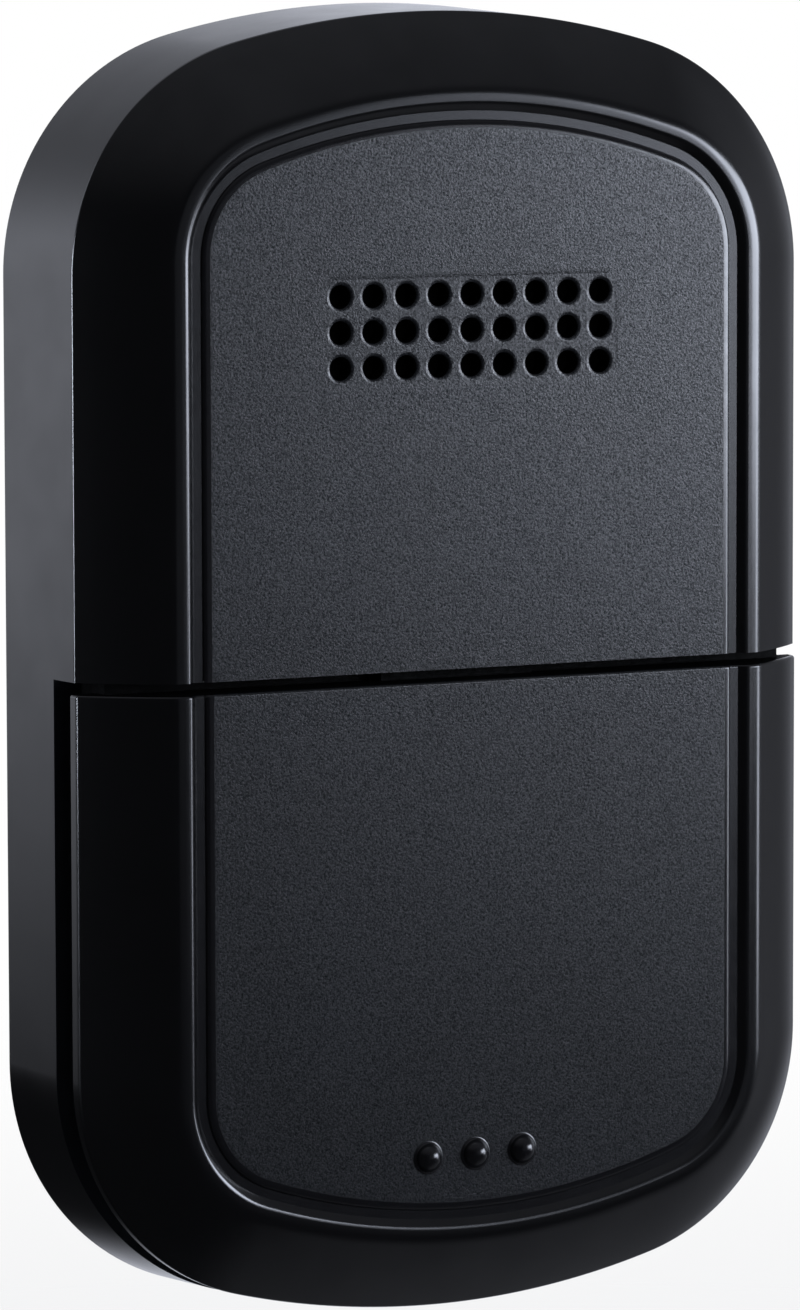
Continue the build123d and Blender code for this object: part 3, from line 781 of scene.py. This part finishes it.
# Ridge across the tongue that holds the cover shut
def tongueBead():
    bm = bmesh.new()
    middle = (case["bulkhead"] + cover["tongueTip"]) / 2
    place = Matrix.Translation((0, middle, cover["tongueTop"]))
    radius = cover["tongueRidge"]
    bmesh.ops.create_cone(
        bm, cap_ends=True, segments=24, radius1=radius, radius2=radius,
        depth=(cover["tongueHalf"] - cover["ridgeEnds"]) * 2,
        matrix=place @ Matrix.Rotation(math.pi / 2, 4, "Y"),
    )
    paint(bm.verts, "inner")
    return toObject(bm, "bead")


# Three round grips for the thumb: domes that run out into the face through a hollow fillet.
def gripDomes():
    bm = bmesh.new()
    radius, fillet, sink = cover["gripRadius"], cover["gripFillet"], cover["gripSink"]
    domeSteps, filletSteps = cover["domeSteps"], cover["filletSteps"]
    reach = math.sqrt((radius + fillet) ** 2 - (fillet + sink) ** 2)
    lean = math.atan2(reach, fillet + sink)
    profile = []
    for part in range(domeSteps + 1):
        angle = lean * part / domeSteps
        profile.append((radius * math.sin(angle), radius * math.cos(angle) - sink))
    for part in range(1, filletSteps + 1):
        angle = lean * (1 - part / filletSteps)
        profile.append((reach - fillet * math.sin(angle), fillet - fillet * math.cos(angle)))
    profile += [(reach, -fillet), (0, -fillet)]
    level = case["faceDepth"] + cover["proud"] - grille["overlap"]
    for step in (-1, 0, 1):
        across = step * cover["gripPitch"]
        spinTool(bm, profile, across, cover["gripHeight"], level, cover["gripSteps"])
    closeTools(bm)
    paint(bm.verts, "strip")
    return toObject(bm, "grips")


coverRings = faceRings(cover["proud"], (0, cover["lipDepth"], "side"), cover["edgeRound"])
coverForm = ringSolid(coverRings, "face")
roundSeam(coverForm, cover["seam"], cover["seamRound"], cover["seamSteps"])
batteryCover = toObject(coverForm, "batteryCover")
coverInset = case["neckInset"] - cover["clearance"]
coverInside = ringSolid(straightRings(coverInset, 0, cover["under"]))
carve(batteryCover, toObject(coverInside, "coverInside"))
carve(batteryCover, coverHollow())
carve(batteryCover, coverRibs(), "UNION")
carve(batteryCover, railsAndTongue(), "UNION")
carve(batteryCover, tongueBead(), "UNION")
carve(batteryCover, gripDomes(), "UNION")
finishPiece(batteryCover, "cover", "cover_plastic", "battery_cover")
print("battery cover made:", len(batteryCover.data.polygons), "faces")


# Materials of the parts that come from the CAD.

# Nylon of the cell holder, switch base and sounder case: dull black with a faint mottle
blackMoulded = mouldedPlastic("mouldedBlackNylon", "#0e0e0f", "#161617", 0.45, 0.4, 0.01)
# Rear plate from a coarser eroded mould: an even dark grey that mirrors nothing
rearAbs = mouldedPlastic("erodedRearAbs", "#121214", "#1d1e20", 0.55, 0.25, 0.02)
# Polycarbonate button from a polished mould: clean red with one small soft highlight
redButton = mouldedPlastic("mouldedRedPolycarbonate", "#8a1a10", "#a32316", 0.35, 0.5, 0.003)
# Printed and cured solder mask: deep green with a wet gloss over low relief
solderMask = mouldedPlastic(
    "greenSolderMask", "#0a3a1c", "#12502a", 0.28, 0.8, 0.006, 0.08, Coat_Weight=0.3
)
# Epoxy of the chips: flat dark grey, almost without a highlight
chipEpoxy = mouldedPlastic("mouldedEpoxy", "#141416", "#1e1e20", 0.6, 0.12, 0.006)
# Foam cut from a sheet: soot black and pitted by open cells on the cut
foam = mouldedPlastic("closedCellFoam", "#0c0c0c", "#171717", 0.9, 0.25, 0.05)
# Nylon ring moulded between can and cap: a matt grey line
sealNylon = mouldedPlastic("cellGrommetNylon", "#3c3c40", "#46464a", 0.5, 0.4, 0.004)
# Fired ceramic: warm tan with a chalky surface
filterCeramic = mouldedPlastic("firedCeramic", "#84603a", "#94704a", 0.5, 0.15, 0.006)
# Silver paste fired on ceramic: pale satin grey
silveredCeramic = mouldedPlastic("silveredPiezoCeramic", "#c8c8c0", "#dcdcd4", 0.4, 0.2, 0.004)
# Cast epoxy with a diffuser in it: milky ivory with a clear gloss
diffusedEpoxy = mouldedPlastic("diffusedEpoxy", "#d8d8c4", "#e6e6d4", 0.25, 0.3, 0.001)
# Zinc plate on cold headed steel: cool bright grey, a little cloudy
zincScrew = platedMetal("zincPlatedSteel", "#b9bbc0", 0.3, 0.15, 0.002)
# Nickel plate on rolled strip: warm grey with lines that run along the strip
nickelStrip = platedMetal("nickelPlatedSteel", "#c9c6bd", 0.24, 0.12, 0.001, (1, 1, 8))
# Deep drawn stainless steel: nearly a mirror, with a faint haze from the draw
cellSteel = platedMetal("drawnStainlessSteel", "#c6c7c9", 0.2, 0.1, 0.0012)
# Hot dipped tin: soft cloudy grey
tinPlate = platedMetal("tinPlatedSteel", "#c2c3c1", 0.34, 0.3, 0.002)
# Rolled brass disc: yellow, with streaks across it
rolledBrass = platedMetal("rolledBrass", "#c9a04e", 0.3, 0.15, 0.002, (8, 1, 1))
# Thin gold on brass pins: deeper yellow and brighter
goldFlash = platedMetal("goldFlashedBrass", "#d8b25c", 0.22, 0.1, 0.001)
# Drawn aluminium can: pale, with draw marks
canAluminium = platedMetal("drawnAluminium", "#cfd0d2", 0.3, 0.12, 0.002, (1, 8, 1))

# Woven polyester cloth behind the grille: flat black, its threads just visible up close
cloth = {"threadMm": 0.12, "reliefMm": 0.03, "bandsPerTurn": 20, "waver": 0.3}
clothMaterial, clothTree, clothShader, clothPlace = newMaterial(
    "blackAcousticCloth", Base_Color=linear("#0a0a0a"), Roughness=0.9
)
threadScale = perMetre(cloth["threadMm"]) * math.tau / cloth["bandsPerTurn"]
waves = [
    addNode(
        clothTree, "TexWave",
        {"Vector": clothPlace, "Scale": threadScale, "Distortion": cloth["waver"]},
        bands_direction=direction,
    ).outputs["Fac"]
    for direction in ("X", "Z")
]
threads = addNode(clothTree, "Math", {0: waves[0], 1: waves[1]}, operation="MAXIMUM")
clothBump = addNode(clothTree, "Bump", {
    "Height": threads.outputs[0], "Distance": cloth["reliefMm"] * millimetre,
})
clothTree.links.new(clothBump.outputs[0], clothShader.inputs["Normal"])

# Acrylic pipe from a polished mould: clear, with the slight haze of its flow
clearAcrylic, acrylicTree, acrylicShader, acrylicPlace = newMaterial(
    "mouldedClearAcrylic", Base_Color=linear("#eef2f2"), Transmission_Weight=1.0, IOR=1.49
)
acrylic = {"hazeMm": 0.5, "clearest": 0.05, "haziest": 0.16}
hazeSpots = addNode(
    acrylicTree, "TexNoise", {"Vector": acrylicPlace, "Scale": perMetre(acrylic["hazeMm"])}
).outputs["Fac"]
haze = addNode(acrylicTree, "MapRange", {
    "Value": hazeSpots, "To Min": acrylic["clearest"], "To Max": acrylic["haziest"],
})
acrylicTree.links.new(haze.outputs[0], acrylicShader.inputs["Roughness"])

finishes = {
    "rear_plate": rearAbs,
    "housing_screws": zincScrew,
    "circuit_board": solderMask,
    "board_screws": zincScrew,
    "sounder_case": blackMoulded,
    "sounder_disc": rolledBrass,
    "sounder_ceramic": silveredCeramic,
    "sounder_pins": goldFlash,
    "acoustic_gasket": foam,
    "dust_mesh": clothMaterial,
    "battery_holder": blackMoulded,
    "positive_contact": nickelStrip,
    "negative_contact": nickelStrip,
    "cell_can": cellSteel,
    "cell_seal": sealNylon,
    "cell_cap": cellSteel,
    "learn_switch_base": blackMoulded,
    "learn_switch_plate": nickelStrip,
    "learn_button": redButton,
    "status_indicator": diffusedEpoxy,
    "light_pipe": clearAcrylic,
    "radio_shield": tinPlate,
    "processor": chipEpoxy,
    "crystal": tinPlate,
    "motion_sensor": chipEpoxy,
    "capacitor_base": blackMoulded,
    "capacitor_can": canAluminium,
    "antenna": tinPlate,
    "chip_resistors": chipEpoxy,
    "filter_capacitors": filterCeramic,
}
for nodeName, material in finishes.items():
    for materialSlot in frame["nodes"][nodeName].material_slots:
        materialSlot.material = material
print("carried-over parts dressed")


# Camera at the angle of the photograph: place in metres, angles in degrees, lens in millimetres.

view = {
    "place": (-0.2669, -0.5008, 0.0551),
    "yaw": 28.24,
    "pitch": -5.58,
    "roll": 0.14,
    "lens": 187.36,
    "sensor": 36,
    "nearest": 0.01,
}
cameraData = bpy.data.cameras.new("camera")
cameraData.lens = view["lens"]
cameraData.sensor_width = view["sensor"]
cameraData.clip_start = view["nearest"]
camera = bpy.data.objects.new("camera", cameraData)
bpy.context.scene.collection.objects.link(camera)
yaw, pitch, roll = (math.radians(view[key]) for key in ("yaw", "pitch", "roll"))
turned = Matrix.Rotation(-yaw, 4, "Z") @ Matrix.Rotation(math.pi / 2 + pitch, 4, "X")
camera.matrix_world = Matrix.Translation(view["place"]) @ turned @ Matrix.Rotation(-roll, 4, "Z")
bpy.context.scene.camera = camera


# Floor, lamps and world.

stage = {
    "floorGap": 0.0005,
    "floorRadius": 0.9,
    "floorSegments": 96,
    "fadeStart": 0.12,
    "fadeEnd": 0.6,
    "ownLight": 0.75,
}
# The floor lies just under the lowest place that the cover slides to
coverTravel = max(joint["range_m"][1] for joint in frame["joints"])
lowest = cadBox[0][2] - coverTravel
bm = bmesh.new()
bmesh.ops.create_circle(
    bm, cap_ends=True, segments=stage["floorSegments"], radius=stage["floorRadius"],
    matrix=Matrix.Translation((0, 0, lowest - stage["floorGap"])),
)
floorMesh = bpy.data.meshes.new("floor")
bm.to_mesh(floorMesh)
bm.free()
floor = bpy.data.objects.new("floor", floorMesh)
bpy.context.scene.collection.objects.link(floor)
floor.visible_glossy = False  # the gloss mirrors the world's dim floor, as in the photograph

# White floor that keeps the shadow near the object and fades out into the white world.
# It has no underside, so that the object can be looked at from below.
floorMaterial = bpy.data.materials.new("paleFloor")
floorMaterial.use_nodes = True
tree = floorMaterial.node_tree
tree.nodes.clear()
rays = addNode(tree, "LightPath")
floorPlace = addNode(tree, "TexCoord").outputs["Object"]
distance = addNode(tree, "VectorMath", {0: floorPlace}, operation="LENGTH").outputs["Value"]
fade = addNode(
    tree, "MapRange",
    {"Value": distance, "From Min": stage["fadeStart"], "From Max": stage["fadeEnd"]},
    interpolation_type="SMOOTHSTEP",
)
paper = addNode(tree, "BsdfDiffuse", {"Color": linear("#f2f2f2")})
glow = addNode(tree, "Emission", {"Color": linear("#ffffff"), "Strength": 1.0})
lift = addNode(
    tree, "Math", {0: rays.outputs["Is Camera Ray"], 1: stage["ownLight"]}, operation="MULTIPLY"
)
near = addNode(tree, "MixShader", {0: lift.outputs[0], 1: paper.outputs[0], 2: glow.outputs[0]})
clear = addNode(tree, "BsdfTransparent")
underside = addNode(tree, "NewGeometry").outputs["Backfacing"]
gone = addNode(tree, "Math", {0: fade.outputs[0], 1: underside}, operation="MAXIMUM")
sheet = addNode(tree, "MixShader", {0: gone.outputs[0], 1: near.outputs[0], 2: clear.outputs[0]})
addNode(tree, "OutputMaterial", {"Surface": sheet.outputs[0]})
floorMesh.materials.append(floorMaterial)

# Lamps: place, what they look at and size in metres, energy in watts. The softbox lights the face
# from the right, softEdge and halo soften its two sides, and skirt lights the face's low end.
# leftEdge draws the lit line on the left outer edge, leftBack greys the side wall, and fill and
# frontCard lift the shadows.
lampColour = "#e8efff"
middle = (0, -0.016, 0)
lamps = {
    "softbox": {
        "place": (0.351, -0.281, 0.058), "aim": middle, "size": (0.27, 0.146), "energy": 1.66,
    },
    "softEdge": {
        "place": (0.228, -0.392, 0.05), "aim": middle, "size": (0.071, 0.22), "energy": 0.078,
    },
    "halo": {
        "place": (0.433, -0.14, 0.035), "aim": middle, "size": (0.09, 0.14), "energy": 0.045,
    },
    "skirt": {
        "place": (0.397, -0.211, -0.052), "aim": (0, -0.016, -0.01), "size": (0.08, 0.077),
        "energy": 0.15,
    },
    "frontCard": {
        "place": (0.1, -0.9, 0.12), "aim": (0, 0, 0), "size": (0.4, 0.5), "energy": 0.08,
    },
    "leftEdge": {
        "place": (-0.5, 0.03, 0.035), "aim": (-0.034, 0, 0.035), "size": (0.08, 0.15),
        "energy": 2.0,
    },
    "leftBack": {
        "place": (-0.6, 0.5, 0.3), "aim": (0, 0, 0.03), "size": (0.4, 0.4), "energy": 0.6,
    },
    "fill": {
        "place": (0.3, -1.1, 0.6), "aim": (0, 0, 0), "size": (0.8, 0.8), "energy": 4.2,
    },
}
for name, lamp in lamps.items():
    data = bpy.data.lights.new(name, "AREA")
    data.shape = "RECTANGLE"
    data.size, data.size_y = lamp["size"]
    data.energy = lamp["energy"]
    data.color = linear(lampColour)[:3]
    obj = bpy.data.objects.new(name, data)
    bpy.context.scene.collection.objects.link(obj)
    obj.location = lamp["place"]
    obj.visible_glossy = name != "fill"  # the gloss shows no card there in the photograph
    obj.visible_diffuse = name != "leftEdge"  # a reflection and nothing more
    aim = Vector(lamp["aim"]) - Vector(lamp["place"])
    obj.rotation_euler = aim.to_track_quat("-Z", "Y").to_euler()

# World: what the object's gloss mirrors. A dim room in front, a bright backdrop behind that ends
# above and below, a soft glow far to the right and one overhead, and a dim floor low on the
# right. Levels are strengths. Ranges are spans of the direction's X, Y or Z, and each "From" is
# how closely it has to point along its "Way". The camera itself sees plain white.
studio = {
    "light": "#eef2ff",
    "room": 0.04,
    "roomBehind": 0.006,
    "roomDeep": 0.6,
    "backdrop": 1.3,
    "backdropRange": (0.3, 0.8),
    "backdropFoot": (-0.168, -0.062),
    "backdropHead": (0.02, 0.45),
    "backdropTop": 0.32,
    "footLevels": (0.01, 0.9),
    "footRange": (0.05, 0.5),
    "ceiling": 0.2,
    "ceilingRange": (0.3, 0.95),
    "overhead": 0.9,
    "overheadFrom": 0.88,
    "overheadWay": (0, 0.3, 0.95),
    "sideGlow": 0.27,
    "sideFrom": 0.8,
    "sideWay": (0.98, -0.1, 0.12),
    "floorGlow": 0.2,
    "floorFrom": 0.7,
    "floorWay": (0.65, 0, -0.76),
}
world = bpy.data.worlds.new("studio")
world.use_nodes = True
bpy.context.scene.world = world
tree = world.node_tree
tree.nodes.clear()
rays = addNode(tree, "LightPath")
direction = addNode(tree, "TexCoord").outputs["Generated"]
axes = addNode(tree, "SeparateXYZ", {0: direction}).outputs
along = {}
for way in ("sideWay", "floorWay", "overheadWay"):
    along[way] = addNode(
        tree, "VectorMath", {0: direction, 1: Vector(studio[way]).normalized()},
        operation="DOT_PRODUCT",
    ).outputs["Value"]

# Backdrop: full towards the back, dimmer at its top, and cut off at its foot except on the right
start, full = studio["backdropRange"]
backdrop = addNode(
    tree, "MapRange",
    {"Value": axes["Y"], "From Min": start, "From Max": full, "To Max": studio["backdrop"]},
    interpolation_type="SMOOTHSTEP",
).outputs[0]
(start, full), (faint, strong) = studio["footRange"], studio["footLevels"]
foot = addNode(
    tree, "MapRange",
    {"Value": axes["X"], "From Min": start, "From Max": full, "To Min": faint, "To Max": strong},
    interpolation_type="SMOOTHSTEP",
).outputs[0]
start, full = studio["backdropFoot"]
lower = addNode(
    tree, "MapRange", {"Value": axes["Z"], "From Min": start, "From Max": full, "To Min": foot},
    interpolation_type="SMOOTHSTEP",
).outputs[0]
start, full = studio["backdropHead"]
head = {"From Min": start, "From Max": full, "To Min": 1, "To Max": studio["backdropTop"]}
upper = addNode(
    tree, "MapRange", {"Value": axes["Z"], **head}, interpolation_type="SMOOTHSTEP"
).outputs[0]
heights = addNode(tree, "Math", {0: lower, 1: upper}, operation="MULTIPLY").outputs[0]
side = addNode(tree, "MapRange", {
    "Value": along["sideWay"], "From Min": studio["sideFrom"], "To Max": studio["sideGlow"],
}).outputs[0]
wallLevel = addNode(
    tree, "Math", {0: backdrop, 1: heights, 2: side}, operation="MULTIPLY_ADD"
).outputs[0]

# Room and floor, ceiling and the glow overhead
roomLevel = addNode(tree, "MapRange", {
    "Value": axes["Y"], "From Max": studio["roomDeep"],
    "To Min": studio["room"], "To Max": studio["roomBehind"],
}).outputs[0]
glowOf = {"From Min": studio["floorFrom"], "To Min": roomLevel, "To Max": studio["floorGlow"]}
below = addNode(
    tree, "MapRange", {"Value": along["floorWay"], **glowOf}, interpolation_type="SMOOTHSTEP"
).outputs[0]
start, full = studio["ceilingRange"]
ceiling = addNode(
    tree, "MapRange",
    {"Value": axes["Z"], "From Min": start, "From Max": full, "To Max": studio["ceiling"]},
    interpolation_type="SMOOTHSTEP",
).outputs[0]
glowOf = {"From Min": studio["overheadFrom"], "To Min": ceiling, "To Max": studio["overhead"]}
overhead = addNode(
    tree, "MapRange", {"Value": along["overheadWay"], **glowOf}, interpolation_type="SMOOTHSTEP"
).outputs[0]
around = addNode(tree, "Math", {0: wallLevel, 1: overhead}, operation="ADD").outputs[0]
level = addNode(tree, "Math", {0: around, 1: below}, operation="ADD").outputs[0]

room = addNode(tree, "Background", {"Color": linear(studio["light"]), "Strength": level})
white = addNode(tree, "Background", {"Color": linear("#ffffff"), "Strength": 1.0})
seen = addNode(
    tree, "Math", {0: rays.outputs["Is Camera Ray"], 1: rays.outputs["Is Transmission Ray"]},
    operation="MAXIMUM",
)
both = addNode(tree, "MixShader", {0: seen.outputs[0], 1: room.outputs[0], 2: white.outputs[0]})
addNode(tree, "OutputWorld", {"Surface": both.outputs[0]})

bpy.context.scene.view_settings.view_transform = "Standard"
print("camera, floor, lamps and world set")
